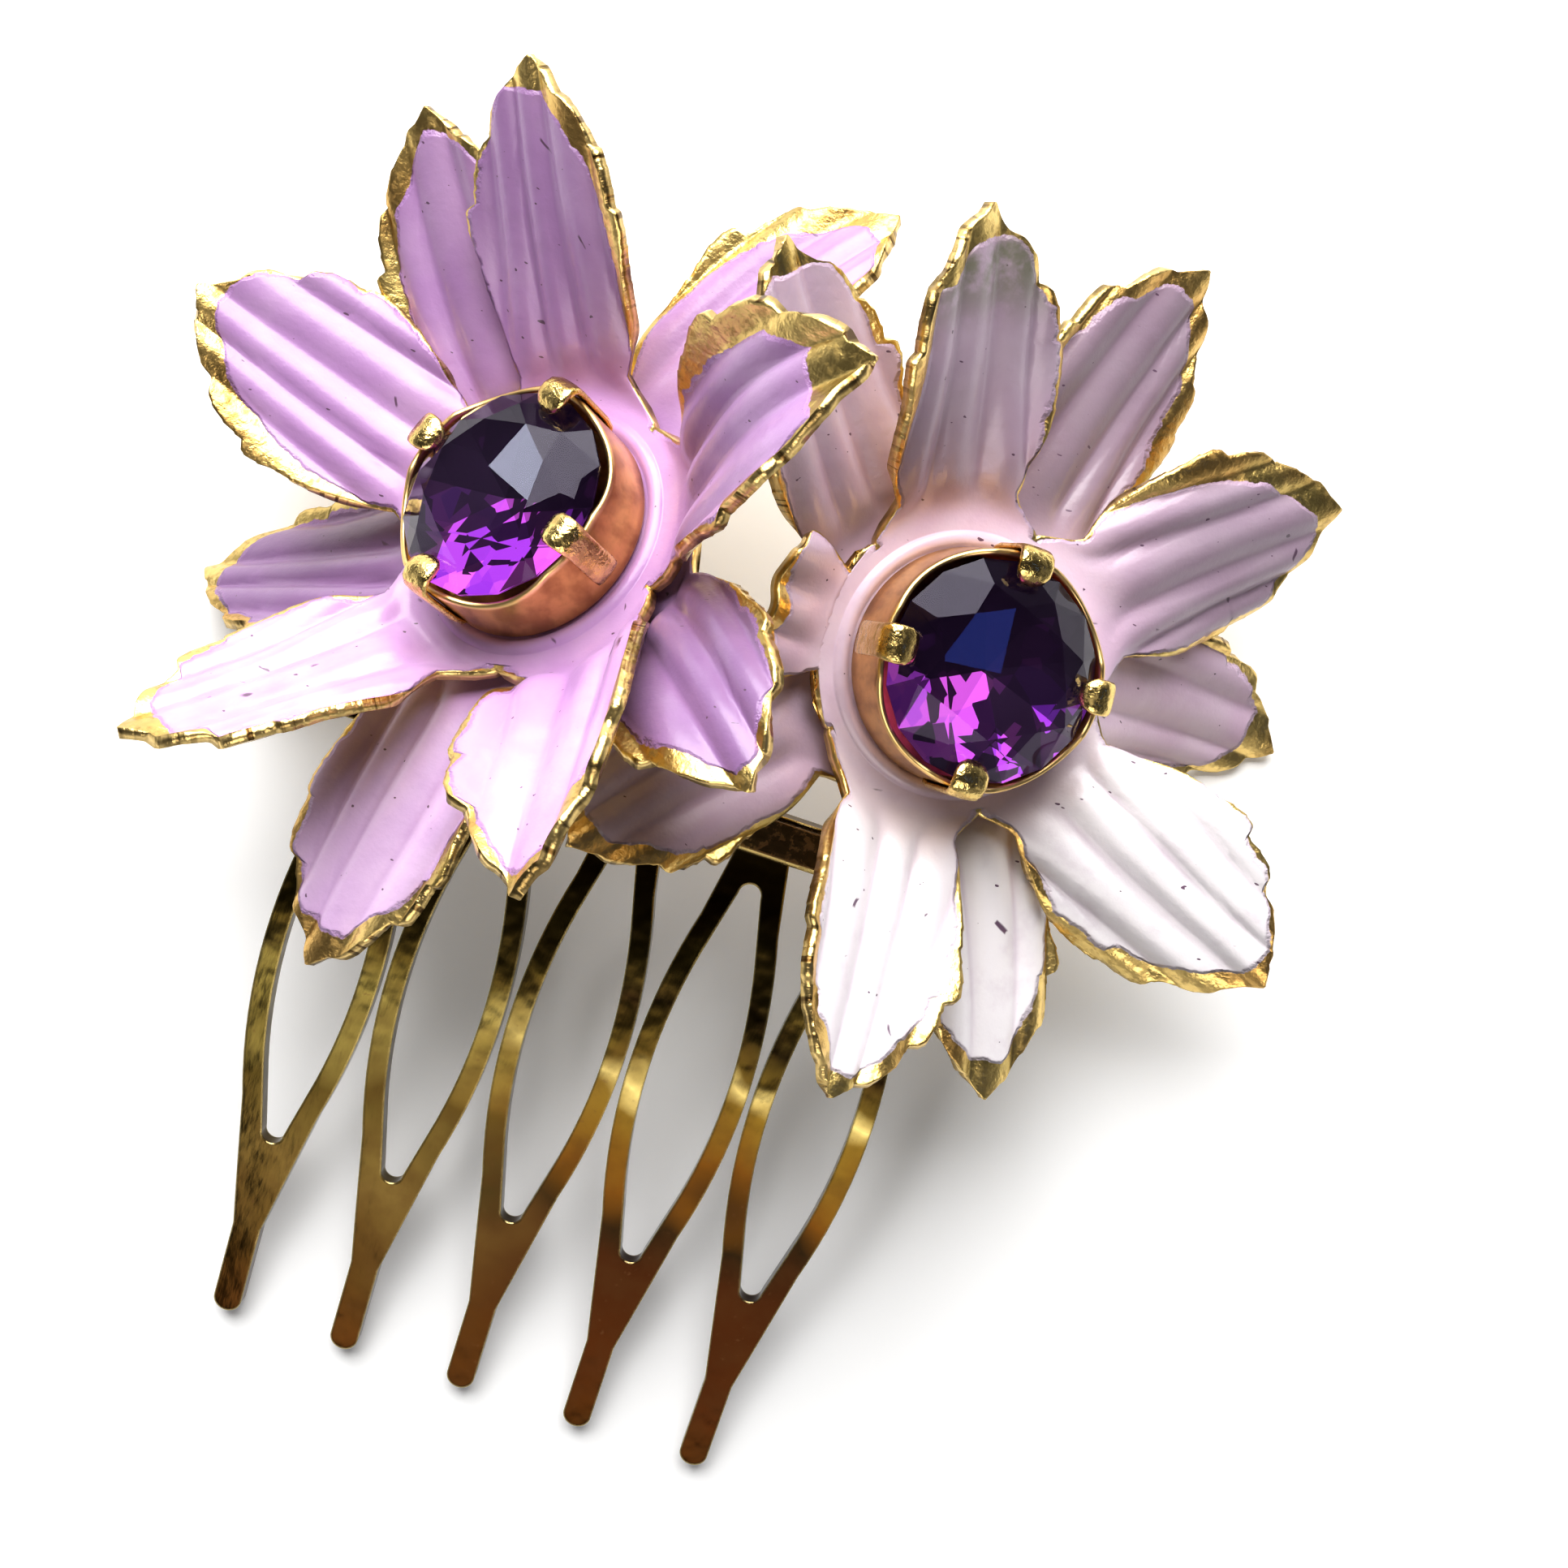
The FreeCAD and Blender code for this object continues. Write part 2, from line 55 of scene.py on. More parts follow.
class Nodes:
    """Short-hand for building one material's node tree."""

    def __init__(self, name):
        self.mat = bpy.data.materials.new(name)
        self.mat.use_nodes = True
        self.tree = self.mat.node_tree
        self.tree.nodes.clear()
        self.out = self.tree.nodes.new("ShaderNodeOutputMaterial")

    def add(self, kind, **settings):
        node = self.tree.nodes.new("ShaderNode" + kind)
        for key, value in settings.items():
            setattr(node, key, value)
        return node

    def link(self, a, b):
        self.tree.links.new(a, b)

    def value(self, socket, value):
        """Link the socket to a node's output, or set it to a plain number or colour."""
        if isinstance(value, bpy.types.NodeSocket):
            self.link(value, socket)
        else:
            socket.default_value = value

    def math(self, op, a, b):
        node = self.add("Math", operation=op)
        for socket, value in zip(node.inputs, (a, b)):
            self.value(socket, value)
        return node.outputs[0]

    def mix(self, factor, a, b):
        node = self.add("Mix", data_type="RGBA")
        self.value(node.inputs[0], factor)
        self.value(node.inputs[6], a if isinstance(a, bpy.types.NodeSocket) else (*a, 1.0))
        self.value(node.inputs[7], b if isinstance(b, bpy.types.NodeSocket) else (*b, 1.0))
        return node.outputs[2]

    def mixf(self, factor, a, b):
        node = self.add("Mix", data_type="FLOAT")
        for socket, value in zip((node.inputs[0], node.inputs[2], node.inputs[3]), (factor, a, b)):
            self.value(socket, value)
        return node.outputs[0]

    def ramp(self, value, low, high, smooth=True):
        """0 at low, 1 at high."""
        node = self.add("MapRange", interpolation_type="SMOOTHSTEP" if smooth else "LINEAR")
        self.value(node.inputs[0], value)
        node.inputs[1].default_value, node.inputs[2].default_value = low, high
        return node.outputs[0]

    def coord(self, scale=(1, 1, 1)):
        node = self.add("TexCoord")
        if scale == (1, 1, 1):
            return node.outputs["Object"]
        mapping = self.add("Mapping")
        mapping.inputs["Scale"].default_value = scale
        self.link(node.outputs["Object"], mapping.inputs["Vector"])
        return mapping.outputs[0]

    def noise(self, per_mm, detail=3.0, rough=0.55, vector=None, distortion=0.0):
        node = self.add("TexNoise")
        self.link(vector if vector is not None else self.coord(), node.inputs["Vector"])
        node.inputs["Scale"].default_value = per_mm * 1000
        node.inputs["Detail"].default_value = detail
        node.inputs["Roughness"].default_value = rough
        node.inputs["Distortion"].default_value = distortion
        return node.outputs[0]

    def attribute(self, name):
        return self.add("Attribute", attribute_name=name).outputs["Fac"]

    def bump(self, height, depth_mm, normal=None):
        node = self.add("Bump")
        node.inputs["Strength"].default_value = 1.0
        node.inputs["Distance"].default_value = depth_mm * MM
        self.value(node.inputs["Height"], height)
        if normal is not None:
            self.link(normal, node.inputs["Normal"])
        return node.outputs[0]

    def bevel(self, radius_mm, samples=4):
        node = self.add("Bevel", samples=samples)
        node.inputs["Radius"].default_value = radius_mm * MM
        return node.outputs[0]

    def shader(self, colour, roughness, metallic=0.0, normal=None, **more):
        node = self.add("BsdfPrincipled")
        plain = not isinstance(colour, bpy.types.NodeSocket)
        self.value(node.inputs["Base Color"], (*colour, 1.0) if plain else colour)
        self.value(node.inputs["Roughness"], roughness)
        node.inputs["Metallic"].default_value = metallic
        if normal is not None:
            self.link(normal, node.inputs["Normal"])
        for key, value in more.items():
            node.inputs[key.replace("_", " ")].default_value = value
        return node.outputs[0]

    def finish(self, shader):
        self.link(shader, self.out.inputs["Surface"])
        return self.mat


def add_object(name, data):
    obj = bpy.data.objects.new(name, data)
    bpy.context.collection.objects.link(obj)
    return obj


GOLD = (0.88, 0.66, 0.26)
OLIVE = (0.34, 0.27, 0.09)
AMBER = (0.52, 0.25, 0.06)
DARK = (0.07, 0.035, 0.015)


def brass_parts(n, tarnish=0.5, bevel=0.12, hammer=0.0, base=GOLD):
    """Colour, roughness and normal of antiqued brass."""
    patches = n.ramp(n.noise(0.16, 4, 0.6), 0.42, 0.68)
    spots = n.ramp(n.noise(1.6, 5, 0.65), 0.48, 0.68)
    warm = n.ramp(n.noise(0.1, 2, 0.5, distortion=0.5), 0.45, 0.62)
    colour = n.mix(n.math("MULTIPLY", patches, tarnish), base, OLIVE)
    colour = n.mix(n.math("MULTIPLY", warm, tarnish * 0.8), colour, AMBER)
    colour = n.mix(n.math("MULTIPLY", spots, tarnish * 0.55), colour, DARK)
    rough = n.mixf(spots, 0.2, 0.42)
    scratches = n.noise(2.2, 2, 0.5, vector=n.coord((0.25, 1, 1)))
    normal = n.bevel(bevel)
    normal = n.bump(scratches, 0.012, normal)
    if hammer:
        normal = n.bump(n.noise(1.3, 3, 0.6), hammer, normal)
    return colour, rough, normal


def make_brass(name, **settings):
    n = Nodes(name)
    colour, rough, normal = brass_parts(n, **settings)
    return n.finish(n.shader(colour, rough, 1.0, normal))


def make_comb_brass():
    """Polished comb: olive on its left, amber and brown on its right. Along the teeth, bands are painted
    reflections with pale painted highlights, and the near black under the flowers is painted shade.
    """
    n = Nodes("comb_brass")
    split = n.add("SeparateXYZ")
    n.link(n.coord(), split.inputs[0])
    wander = n.math("MULTIPLY", n.math("SUBTRACT", n.noise(0.16, 2, 0.5), 0.5), 0.011)
    along = n.math("ADD", split.outputs[1], wander)
    across = n.math("ADD", split.outputs[0], wander)
    right = n.ramp(across, -0.012, 0.004)
    low = comb_low.y
    painted_reflection_ramps = []
    # painted reflections: dark and light bands along the teeth, pale painted highlight bands near the middle,
    # and painted shade near black towards the spine under the flowers
    for stops in (
            ((0.0, (0.06, 0.024, 0.005)), (0.12, (0.055, 0.03, 0.007)), (0.25, (0.10, 0.068, 0.02)),
             (0.40, (0.06, 0.042, 0.010)), (0.53, (0.17, 0.135, 0.04)), (0.64, (0.08, 0.056, 0.012)),
             (0.82, (0.06, 0.038, 0.01))),
            ((0.0, (0.045, 0.017, 0.003)), (0.12, (0.042, 0.013, 0.003)), (0.27, (0.03, 0.010, 0.003)),
             (0.35, (0.014, 0.008, 0.003)), (0.43, (0.085, 0.036, 0.005)), (0.53, (0.12, 0.075, 0.012)),
             (0.57, (0.42, 0.34, 0.13)), (0.61, (0.09, 0.06, 0.012)), (0.68, (0.014, 0.009, 0.003)),
             (0.74, (0.085, 0.06, 0.014)), (0.80, (0.02, 0.011, 0.003)), (0.9, (0.11, 0.065, 0.014)))):
        ramp = n.add("ValToRGB")
        place = n.add("MapRange")
        n.link(along, place.inputs[0])
        place.inputs[1].default_value, place.inputs[2].default_value = low, low + COMB_LENGTH
        n.link(place.outputs[0], ramp.inputs[0])
        while len(ramp.color_ramp.elements) < len(stops):
            ramp.color_ramp.elements.new(0.5)
        for element, (position, colour) in zip(ramp.color_ramp.elements, stops):
            element.position, element.color = position, (*colour, 1)
        painted_reflection_ramps.append(ramp.outputs[0])
    colour = n.mix(right, *painted_reflection_ramps)
    blotch = n.ramp(n.noise(0.45, 3, 0.6), 0.35, 0.7)
    colour = n.mix(n.math("MULTIPLY", blotch, 0.35), colour, (0.04, 0.018, 0.006))
    spots = n.ramp(n.noise(2.2, 4, 0.6), 0.62, 0.75)
    colour = n.mix(n.math("MULTIPLY", spots, 0.4), colour, DARK)
    soft = n.bevel(0.2, 6)
    true = n.add("NewGeometry").outputs["Normal"]
    dot = n.add("VectorMath", operation="DOT_PRODUCT")
    n.link(soft, dot.inputs[0])
    n.link(true, dot.inputs[1])
    # painted highlight: a thin pale gold line where the bevelled edge turns away from the face
    edge = n.math("SUBTRACT", 1.0, n.ramp(dot.outputs["Value"], 0.90, 0.99))
    colour = n.mix(n.math("MULTIPLY", edge, 0.8), colour, (0.86, 0.70, 0.34))
    normal = n.bump(n.noise(0.35, 2, 0.5), 0.1, soft)
    normal = n.bump(n.noise(4.0, 3, 0.5, vector=n.coord((1, 0.2, 1))), 0.006, normal)
    return n.finish(n.shader(colour, 0.16, 1.0, normal))


def make_cut_edge():
    """Sheared edge of the sheet: brass with marks across its thickness."""
    n = Nodes("cut_edge")
    run = n.attribute("run")
    stripes = n.add("TexNoise", noise_dimensions="1D")
    n.link(run, stripes.inputs["W"])
    stripes.inputs["Scale"].default_value = 2.4
    stripes.inputs["Detail"].default_value = 3.0
    mark = n.ramp(stripes.outputs[0], 0.3, 0.5)
    sheared = n.ramp(n.noise(0.2, 2), 0.42, 0.6)
    mark = n.math("MAXIMUM", mark, n.math("SUBTRACT", 1.0, sheared))
    colour = n.mix(mark, (0.16, 0.09, 0.03), (0.86, 0.64, 0.27))
    patch = n.ramp(n.noise(0.3, 3), 0.5, 0.66)
    colour = n.mix(n.math("MULTIPLY", patch, 0.7), colour, (0.22, 0.14, 0.05))
    normal = n.bump(stripes.outputs[0], 0.05, n.bevel(0.14))
    normal = n.bump(n.noise(2.0, 3), 0.05, normal)
    return n.finish(n.shader(colour, 0.28, 1.0, normal))


def make_enamel(name, body, pale, deep, painted_shade_colour, tarnished=False):
    """Lilac enamel over brass, which shows along the petal's rim.

    body and pale mottle the enamel. deep is laid into the creases of the pressed ridges as painted shade, and
    also darkens it towards its edge. Each petal's painted light and shade value pales it towards near-white
    above zero and darkens it towards the dusky painted shade colour below zero.
    """
    n = Nodes(name)
    colour, rough, normal = brass_parts(n, tarnish=0.6, bevel=0.1, hammer=0.1)
    metal = n.shader(colour, n.math("ADD", rough, 0.12), 1.0, normal)
    paint = n.attribute("paint")
    ragged = n.math("ADD", n.math("MULTIPLY", n.math("SUBTRACT", n.noise(0.3, 2, 0.5), 0.5), 1.3),
                    n.math("MULTIPLY", n.math("SUBTRACT", n.noise(1.6, 3, 0.6), 0.5), 0.35))
    cover = n.math("ADD", paint, ragged)
    mask = n.ramp(cover, -0.03, 0.03)
    thick = n.ramp(cover, -0.05, 0.22)
    mottle_and_painted_light = n.ramp(n.noise(0.22, 3, 0.5), 0.35, 0.7)
    lacquer = n.mix(mottle_and_painted_light, body, pale)
    # painted light and shade per petal: near-white above zero stands in for light, the dusky colour below zero
    # for shade
    mottle_and_painted_light = n.attribute("mottle_and_painted_light")
    lacquer = n.mix(n.ramp(mottle_and_painted_light, 0.0, 1.0, False), lacquer, (0.96, 0.92, 0.95))
    lacquer = n.mix(n.ramp(n.math("MULTIPLY", mottle_and_painted_light, -1.0), 0.0, 1.0, False), lacquer, painted_shade_colour)
    # painted shade: the deep colour is laid into the valleys of the pressed ridges
    painted_crease_shade = n.attribute("painted_crease_shade")
    lacquer = n.mix(n.math("MULTIPLY", painted_crease_shade, 0.5), lacquer, deep)
    grime = n.ramp(n.noise(0.4, 4, 0.6), 0.5, 0.75)
    lacquer = n.mix(n.math("MULTIPLY", grime, 0.18), lacquer, deep)
    specks = n.ramp(n.noise(3.0, 1, 0.3, vector=n.coord((0.45, 1, 1))), 0.775, 0.79)
    hair = n.add("TexWave", wave_type="BANDS", bands_direction="DIAGONAL")
    n.link(n.coord(), hair.inputs["Vector"])
    hair.inputs["Scale"].default_value = 55.0
    hair.inputs["Distortion"].default_value = 9.0
    hair.inputs["Detail"].default_value = 2.0
    hair.inputs["Detail Scale"].default_value = 2.0
    line = n.math("MULTIPLY", n.ramp(hair.outputs["Fac"], 0.992, 0.999),
                  n.ramp(n.noise(0.5, 2, 0.5), 0.66, 0.7))
    lacquer = n.mix(n.math("MAXIMUM", specks, line), lacquer, (0.16, 0.09, 0.15))
    if tarnished:
        stain = n.math("MULTIPLY", n.ramp(n.attribute("stain"), 0.2, 0.9),
                       n.ramp(n.noise(0.5, 4, 0.6), 0.3, 0.6))
        lacquer = n.mix(n.math("MULTIPLY", stain, 0.85), lacquer, (0.20, 0.21, 0.13))
    # the enamel grows darker towards its edge
    edge_darkening = n.math("MULTIPLY", n.math("SUBTRACT", 1.0, n.ramp(cover, 0.0, 0.35)), 0.45)
    lacquer = n.mix(edge_darkening, lacquer, deep)
    soft = n.bump(thick, 0.14, n.bump(n.noise(0.7, 4, 0.6), 0.05))
    soft = n.bump(n.noise(5.0, 2, 0.5), 0.006, soft)
    glaze = n.shader(lacquer, 0.34, 0.0, soft, Coat_Weight=0.35, Coat_Roughness=0.18, Specular_IOR_Level=0.5)
    blend = n.add("MixShader")
    n.link(mask, blend.inputs[0])
    n.link(metal, blend.inputs[1])
    n.link(glaze, blend.inputs[2])
    return n.finish(blend.outputs[0])


def make_glass(name, colour):
    """Cut glass with a weak reflection, so that the stone stays dark."""
    n = Nodes(name)
    return n.finish(n.shader(colour, 0.0, 0.0, None, Transmission_Weight=1.0, IOR=1.55,
                             Specular_Tint=(0.40, 0.38, 0.46, 1.0)))


def make_foil():
    """Foil behind the stone that glows as painted light: near black, with glowing facets broken into violet
    and magenta shards.
    """
    n = Nodes("glowing_foil")
    painted_glow = n.attribute("painted_facet_glow")
    shards = n.add("TexVoronoi")
    n.link(n.coord(), shards.inputs["Vector"])
    shards.inputs["Scale"].default_value = 800.0
    tint = n.add("SeparateColor")
    n.link(shards.outputs["Color"], tint.inputs[0])
    hue = n.math("ADD", n.math("MULTIPLY", n.attribute("hue"), 0.6), n.math("MULTIPLY", tint.outputs[1], 0.5))
    painted_glow = n.math("MULTIPLY", painted_glow, n.mixf(n.ramp(tint.outputs[0], 0.44, 0.46), 0.04, 1.0))
    bright = n.mix(hue, (0.22, 0.03, 0.50), (0.85, 0.22, 0.72))
    colour = n.mix(painted_glow, (0.0008, 0.0002, 0.002), bright)
    node = n.add("BsdfPrincipled")
    node.inputs["Base Color"].default_value = (0.002, 0.0005, 0.004, 1)
    # painted light: the foil glows in its facet colour, though it is no lamp
    n.link(colour, node.inputs["Emission Color"])
    node.inputs["Emission Strength"].default_value = 1.9
    node.inputs["Roughness"].default_value = 0.6
    return n.finish(node.outputs[0])


# ------------------------------------------------------------------ materials
brass_comb = make_comb_brass()
brass_back = make_brass("back_brass", tarnish=0.95, bevel=0.1, hammer=0.03)
# painted shade: the strap's brass gets a dark brown base because the strap lies in the flowers' shadow
painted_shade_strap_brass = make_brass("strap_brass_painted_shade", tarnish=0.9, bevel=0.12, base=(0.16, 0.09, 0.035))
brass_small = make_brass("small_brass", tarnish=0.4, bevel=0.12)
cut_edge = make_cut_edge()
enamel = {
    "left": make_enamel("left_enamel", (0.62, 0.37, 0.68), (0.70, 0.46, 0.74), (0.42, 0.22, 0.48),
                        (0.15, 0.075, 0.18)),
    "right": make_enamel("right_enamel", (0.76, 0.57, 0.74), (0.82, 0.66, 0.80), (0.50, 0.34, 0.47),
                         (0.20, 0.14, 0.18), True),
}
glass = make_glass("amethyst", (0.66, 0.36, 0.86))
glowing_foil = make_foil()


def make_cup():
    """Coppery cup wall with a bright rim."""
    n = Nodes("cup_wall")
    colour, rough, normal = brass_parts(n, tarnish=0.4, bevel=0.1)
    streaks = n.ramp(n.noise(0.8, 3, 0.5, vector=n.coord((1, 1, 0.25))), 0.35, 0.7)
    wall = n.mix(0.6, colour, (0.72, 0.39, 0.11))
    wall = n.mix(n.math("MULTIPLY", streaks, 0.55), wall, (0.28, 0.11, 0.03))
    wall = n.mix(n.math("MULTIPLY", n.ramp(n.attribute("rim"), 0.2, 0.9), 0.8), wall, (0.90, 0.66, 0.30))
    return n.finish(n.shader(wall, 0.3, 1.0, normal))


cup_metal = make_cup()
prong_gold = make_brass("prong_gold", tarnish=0.35, bevel=0.05, hammer=0.12)

# ------------------------------------------------------------------ petals
# millimetres: where a petal leaves the hub, its length, half its width and the sheet's thickness
HINGE, REACH, HALF, SHEET = 7.2, 18.3, 5.0, 0.65
STEPS = 96
SHORT = 0.27  # length of the trimmed petal, as a part of the others'
WIDEST = 0.47  # place of the greatest width along the petal
RIDGE = 0.3  # height of the pressed ridges


def smooth(x):
    x = np.clip(x, 0.0, 1.0)
    return x * x * (3 - 2 * x)


def half_width(s, wide=1.0):
    """Half width at s, which runs from 0 at the hub to 1 at the tip."""
    s = np.clip(s, 0, 1)
    half = HALF * (1 + (wide - 1) * smooth(s / 0.45))
    rise = half * (0.5 + 0.5 * np.sin(np.pi / 2 * np.minimum(s / WIDEST, 1)))
    fall = half * np.cos(np.pi / 2 * np.clip((s - WIDEST) / (1 - WIDEST), 0, 1) ** 1.25)
    return np.where(s < WIDEST, rise, fall)


def midline(lift, curl, end_curl, sweep, twist, stretch):
    """Points, sideways directions and normals along the middle of a bent petal."""
    s = np.linspace(0, 1, STEPS + 1)
    up = np.radians(lift * smooth(s / 0.12) + curl * s + end_curl * s ** 3)
    side = np.radians(sweep * s)
    ahead = np.stack([np.cos(up) * np.cos(side), np.cos(up) * np.sin(side), np.sin(up)], 1)
    point = np.zeros((STEPS + 1, 3))
    point[0, 0] = HINGE
    point[1:] = point[0] + np.cumsum((ahead[1:] + ahead[:-1]) / 2 * REACH * stretch / STEPS, 0)
    across = np.stack([-np.sin(side), np.cos(side), 0 * side], 1)
    normal = np.cross(ahead, across)
    turn = np.radians(twist * smooth(s / 0.6))[:, None]
    return (point, across * np.cos(turn) + normal * np.sin(turn),
            normal * np.cos(turn) - across * np.sin(turn))


def at(frames, s):
    """The midline's frames, interpolated at s."""
    f = np.clip(s, 0, 1) * STEPS
    k = np.minimum(f.astype(int), STEPS - 1)
    w = (f - k)[..., None]
    return [a[k] * (1 - w) + a[k + 1] * w for a in frames]


def ridge(s, y, phase):
    """Height of the pressed ridges that run along the petal."""
    depth = RIDGE * smooth((s - 0.02) / 0.25) * (1 - 0.5 * s)
    bent = y + 0.3 * np.sin(0.9 * y + 5 * phase)
    wave = np.sin(2 * np.pi * bent / (2.9 - 0.7 * s) + phase)
    return depth * (wave + 0.3 * (1 - wave * wave))


def teeth(s, phase, seed):
    """Three rounded steps a side that point to the petal's tip."""
    local = np.random.default_rng(seed)
    extra = np.zeros_like(s)
    lows = 0.43 + 0.165 * np.arange(4) + phase + local.uniform(-0.02, 0.02, 4)
    for k in range(3):
        depth = (0.46 - 0.05 * k) * local.uniform(0.75, 1.25)
        x = (s - lows[k]) / (lows[k + 1] - lows[k])
        rise = np.sin(np.pi / 2 * np.clip(x / 0.9, 0, 1)) ** 1.4
        fall = np.sqrt(np.clip(1 - (np.clip(x - 0.9, 0, 1) / 0.1) ** 2, 0, 1))
        extra = np.maximum(extra, np.where((x > 0) & (x < 1), depth * rise * fall, 0))
    small = (s * 19 + phase * 40) % 1.0
    return extra + 0.07 * small ** 2 * smooth((s - 0.3) / 0.1) * smooth((0.93 - s) / 0.05)


def petal_grid(row, gap_low, gap_high, radii, across, seed, short, borders):
    """Vertices and paint data of one petal with its sector of the hub."""
    azimuth, lift, curl, end_curl, sweep, twist, cup, stretch, wide = row
    frames = midline(lift, curl, end_curl, sweep, twist, stretch)
    local = np.random.default_rng(seed)
    phase = 0.6 + local.uniform(-0.5, 0.5)
    r, t = np.meshgrid(radii, across, indexing="ij")
    s = (r - HINGE) / REACH
    if short:
        s = np.where(s > 0, s * SHORT, s)
    width = half_width(s, wide)
    if short:
        width = width * np.sqrt(np.clip(1 - ((s - 0.14) / 0.135).clip(0, 1) ** 4, 0.0, 1)) * (
            1 - 0.16 * np.exp(-((s - 0.24) / 0.02) ** 2))
        saw = 0 * s
    else:
        saw = np.where(t > 0, teeth(s, 0.02, seed + 1), teeth(s, -0.01, seed + 2))
        saw = saw * np.clip((0.985 - s) / 0.03, 0, 1)
    edge = np.maximum(width, 0.06)
    y = t * edge + np.sign(t) * saw * smooth((np.abs(t) - 0.55) / 0.45)
    point, side, normal = at(frames, s)
    safe = np.maximum(edge, 0.5)
    bowl = cup * np.minimum(y * y / safe, 2.5 * safe) * smooth(s / 0.3)
    wave = ridge(s, y, phase)
    bent = point + side * y[..., None] + normal * (wave + bowl)[..., None]
    # hub sector in polar form
    angle = np.where(t > 0, t * gap_high, t * gap_low)
    ring = 0.32 * np.exp(-((r - 6.95) / 0.2) ** 2)
    flat = np.stack([r * np.cos(angle), r * np.sin(angle), ring], -1)
    start = HINGE + 1.1 * np.abs(t) ** 3
    stop = 11.0 - 1.6 * t * t
    b = smooth((r - start) / (stop - start))[..., None]
    mesh = flat * (1 - b) + bent * b
    c, d = math.cos(math.radians(azimuth)), math.sin(math.radians(azimuth))
    mesh = mesh @ np.array([[c, d, 0], [-d, c, 0], [0, 0, 1]])
    # distance inside the painted area, millimetres
    low_edge, high_edge, tip = borders
    grow = 0.1 + 1.0 * smooth((s - 0.1) / 0.55)
    paint = np.minimum((1 - t) * edge - high_edge * grow, (1 + t) * edge - low_edge * grow)
    end = SHORT if short else 1.0
    paint = np.minimum(paint, (end - s) * REACH * 0.8 - tip)
    paint = np.where(r < 8.0, np.maximum(paint, 1.2 * smooth((8.3 - r) / 0.8)), paint)
    # painted shade mask: the deeper a ridge valley, the more painted shade
    painted_crease_shade = np.clip(-wave / RIDGE, 0, 1) ** 2
    return mesh, paint, painted_crease_shade, s * REACH, s


def build_layer(name, rows, borders, painted_light_per_petal, material, place, seed, short=None, level=0.0, stained=None):
    """One stamping of five petals; short and stained are the numbers of the petals that are so."""
    radii = np.concatenate([[3.0, 5.0, 6.2], np.arange(6.4, 8.4, 0.15), np.arange(8.5, 14.0, 0.3),
                            np.linspace(14.0, HINGE + REACH * 0.998, 78)])
    across = np.sin(np.linspace(-1, 1, 29) * np.pi / 2 * 0.8) / math.sin(math.pi / 2 * 0.8)
    order = sorted(range(5), key=lambda i: rows[i][0] % 360)
    az = [rows[i][0] % 360 for i in order]
    verts, quads, paint, painted_crease_shade, run, stain, mottle_and_painted_light = [], [], [], [], [], [], []
    for place_in, i in enumerate(order):
        gap_high = math.radians(((az[(place_in + 1) % 5] - az[place_in]) % 360) / 2)
        gap_low = math.radians(((az[place_in] - az[place_in - 1]) % 360) / 2)
        mesh, p, v, along, s = petal_grid(rows[i], gap_low, gap_high, radii, across, seed + 10 * i,
                                          short == i, borders[i])
        base = sum(len(x) for x in verts)
        nr, nt = p.shape
        index = base + np.arange(nr * nt).reshape(nr, nt)
        corners = index[:-1, :-1], index[1:, :-1], index[1:, 1:], index[:-1, 1:]
        quads.append(np.stack(corners, -1).reshape(-1, 4))
        verts.append(mesh.reshape(-1, 3))
        paint.append(p.ravel())
        painted_crease_shade.append(v.ravel())
        run.append((along + 40 * i).ravel())
        stain.append((smooth((s - 0.45) / 0.5) if stained == i else 0 * s).ravel())
        # each petal's painted light and shade value, blending into the layer's mean near the hub
        near = smooth((s + 0.05) / 0.3)
        mottle_and_painted_light.append((painted_light_per_petal[i] * near + sum(painted_light_per_petal) / 5 * (1 - near)).ravel())
    verts = np.concatenate(verts) + [0, 0, level]
    data = bpy.data.meshes.new(name)
    data.from_pydata((verts * MM).tolist(), [], np.concatenate(quads).tolist())
    for key, value in (("paint", paint), ("painted_crease_shade", painted_crease_shade), ("run", run), ("stain", stain),
                       ("mottle_and_painted_light", mottle_and_painted_light)):
        layer = data.attributes.new(key, "FLOAT", "POINT")
        layer.data.foreach_set("value", np.concatenate(value).astype(np.float32))
    data.polygons.foreach_set("use_smooth", [True] * len(data.polygons))
    for slot in (material, brass_back, cut_edge):
        data.materials.append(slot)
    data.transform(place)
    obj = add_object(name, data)
    weld = obj.modifiers.new("weld", "WELD")
    weld.merge_threshold = 0.02 * MM
    solid = obj.modifiers.new("sheet", "SOLIDIFY")
    solid.thickness = SHEET * MM
    solid.offset = 0.0
    solid.use_even_offset = False
    solid.material_offset = 1
    solid.material_offset_rim = 2
    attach(obj, "root")
    return obj


